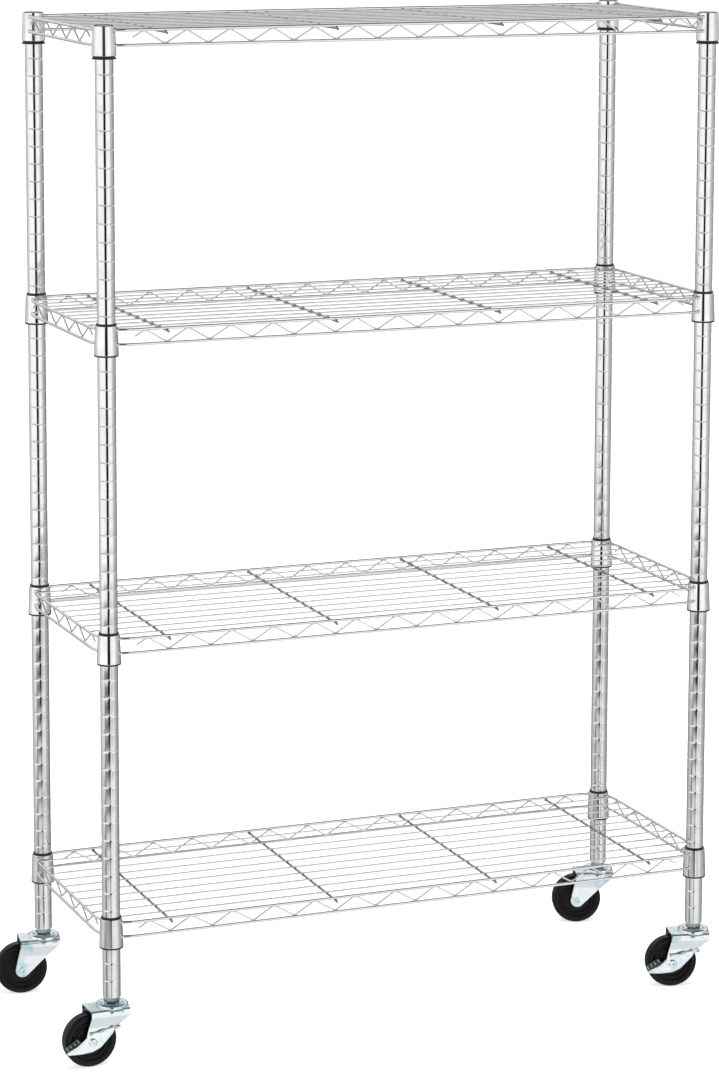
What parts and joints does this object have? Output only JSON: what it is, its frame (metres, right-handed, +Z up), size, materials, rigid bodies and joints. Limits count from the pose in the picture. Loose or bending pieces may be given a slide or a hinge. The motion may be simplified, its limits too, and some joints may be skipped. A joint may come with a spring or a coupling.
{
  "type": "wire shelving rack",
  "caption": "Rolling wire shelving rack: grooved round posts, adjustable truss-edged wire shelves on split tapered sleeves, swivel stem casters, front ones with brakes.",
  "frame": {"origin": "on the floor, midway between the four posts", "axes": "+X along the shelves to the right seen from the front, -Y the front, +Z up"},
  "size_m": [1.0148, 0.3867, 1.4581],
  "materials": {
    "post_chrome": "bright chrome plate on rolled steel tube",
    "collar_chrome": "bright chrome plate",
    "wire_chrome": "chrome plate on drawn wire",
    "cap_plastic": "fine matt",
    "sleeve_plastic": "satin black moulding",
    "zinc_plate": "bright blue-passivated zinc",
    "plain_steel": "turned steel",
    "ball_steel": "polished bearing balls",
    "wheel_rubber": "hard rubber, satin"
  },
  "bodies": {
    "frame": {"caster_race_cups": "zinc_plate", "caster_sockets": "plain_steel", "caster_stems": "zinc_plate", "caster_swivel_balls": "ball_steel", "post_caps": "cap_plastic", "post_joint_bushes": "plain_steel", "post_joint_studs": "plain_steel", "post_lower_back_left": "post_chrome", "post_lower_back_right": "post_chrome", "post_lower_front_left": "post_chrome", "post_lower_front_right": "post_chrome", "post_upper_back_left": "post_chrome", "post_upper_back_right": "post_chrome", "post_upper_front_left": "post_chrome", "post_upper_front_right": "post_chrome", "sleeves_bottom": "sleeve_plastic", "sleeves_lower": "sleeve_plastic", "sleeves_top": "sleeve_plastic", "sleeves_upper": "sleeve_plastic"},
    "shelf_bottom": {"shelf_bottom_collars": "collar_chrome", "shelf_bottom_deck_wires": "wire_chrome", "shelf_bottom_rails": "wire_chrome", "shelf_bottom_ribs": "wire_chrome", "shelf_bottom_trusses": "wire_chrome"},
    "shelf_lower": {"shelf_lower_collars": "collar_chrome", "shelf_lower_deck_wires": "wire_chrome", "shelf_lower_rails": "wire_chrome", "shelf_lower_ribs": "wire_chrome", "shelf_lower_trusses": "wire_chrome"},
    "shelf_upper": {"shelf_upper_collars": "collar_chrome", "shelf_upper_deck_wires": "wire_chrome", "shelf_upper_rails": "wire_chrome", "shelf_upper_ribs": "wire_chrome", "shelf_upper_trusses": "wire_chrome"},
    "shelf_top": {"shelf_top_collars": "collar_chrome", "shelf_top_deck_wires": "wire_chrome", "shelf_top_rails": "wire_chrome", "shelf_top_ribs": "wire_chrome", "shelf_top_trusses": "wire_chrome"},
    "swivel_front_left": {"caster_axle_bush_front_left": "plain_steel", "caster_axle_front_left": "zinc_plate", "caster_fork_front_left": "zinc_plate"},
    "wheel_front_left": {"caster_wheel_front_left": "wheel_rubber"},
    "swivel_front_right": {"caster_axle_bush_front_right": "plain_steel", "caster_axle_front_right": "zinc_plate", "caster_fork_front_right": "zinc_plate"},
    "wheel_front_right": {"caster_wheel_front_right": "wheel_rubber"},
    "swivel_back_left": {"caster_axle_back_left": "zinc_plate", "caster_axle_bush_back_left": "plain_steel", "caster_fork_back_left": "zinc_plate"},
    "wheel_back_left": {"caster_wheel_back_left": "wheel_rubber"},
    "swivel_back_right": {"caster_axle_back_right": "zinc_plate", "caster_axle_bush_back_right": "plain_steel", "caster_fork_back_right": "zinc_plate"},
    "wheel_back_right": {"caster_wheel_back_right": "wheel_rubber"},
    "brake_front_left": {"brake_lever_front_left": "zinc_plate"},
    "brake_front_right": {"brake_lever_front_right": "zinc_plate"}
  },
  "joints": [
    {"name": "lift_shelf_bottom", "type": "slide", "parent": "frame", "child": "shelf_bottom", "axis": [0, 0, 1], "range_m": [0, 0.34]},
    {"name": "lift_shelf_lower", "type": "slide", "parent": "frame", "child": "shelf_lower", "axis": [0, 0, 1], "range_m": [0, 0.36]},
    {"name": "lift_shelf_upper", "type": "slide", "parent": "frame", "child": "shelf_upper", "axis": [0, 0, 1], "range_m": [0, 0.34]},
    {"name": "lift_shelf_top", "type": "slide", "parent": "frame", "child": "shelf_top", "axis": [0, 0, 1], "range_m": [0, 0.06]},
    {"name": "swivel_front_left", "type": "hinge", "parent": "frame", "child": "swivel_front_left", "pos_m": [-0.4572, -0.1651, 0.082], "axis": [0, 0, 1], "continuous": true},
    {"name": "swivel_front_right", "type": "hinge", "parent": "frame", "child": "swivel_front_right", "pos_m": [0.4572, -0.1651, 0.082], "axis": [0, 0, 1], "continuous": true},
    {"name": "swivel_back_left", "type": "hinge", "parent": "frame", "child": "swivel_back_left", "pos_m": [-0.4572, 0.1651, 0.082], "axis": [0, 0, 1], "continuous": true},
    {"name": "swivel_back_right", "type": "hinge", "parent": "frame", "child": "swivel_back_right", "pos_m": [0.4572, 0.1651, 0.082], "axis": [0, 0, 1], "continuous": true},
    {"name": "roll_front_left", "type": "hinge", "parent": "swivel_front_left", "child": "wheel_front_left", "pos_m": [-0.49119, -0.16569, 0.0381], "axis": [-0.0175, 0.9998, 0], "continuous": true},
    {"name": "roll_front_right", "type": "hinge", "parent": "swivel_front_right", "child": "wheel_front_right", "pos_m": [0.42436, -0.1563, 0.0381], "axis": [0.2588, 0.9659, 0], "continuous": true},
    {"name": "roll_back_left", "type": "hinge", "parent": "swivel_back_left", "child": "wheel_back_left", "pos_m": [-0.49078, 0.17042, 0.0381], "axis": [0.1564, 0.9877, 0], "continuous": true},
    {"name": "roll_back_right", "type": "hinge", "parent": "swivel_back_right", "child": "wheel_back_right", "pos_m": [0.42486, 0.17561, 0.0381], "axis": [0.309, 0.9511, 0], "continuous": true},
    {"name": "brake_lever_front_left", "type": "hinge", "parent": "swivel_front_left", "child": "brake_front_left", "pos_m": [-0.49119, -0.16569, 0.0381], "axis": [-0.0175, 0.9998, 0], "range_deg": [0, 18]},
    {"name": "brake_lever_front_right", "type": "hinge", "parent": "swivel_front_right", "child": "brake_front_right", "pos_m": [0.42436, -0.1563, 0.0381], "axis": [0.2588, 0.9659, 0], "range_deg": [0, 18]}
  ]
}
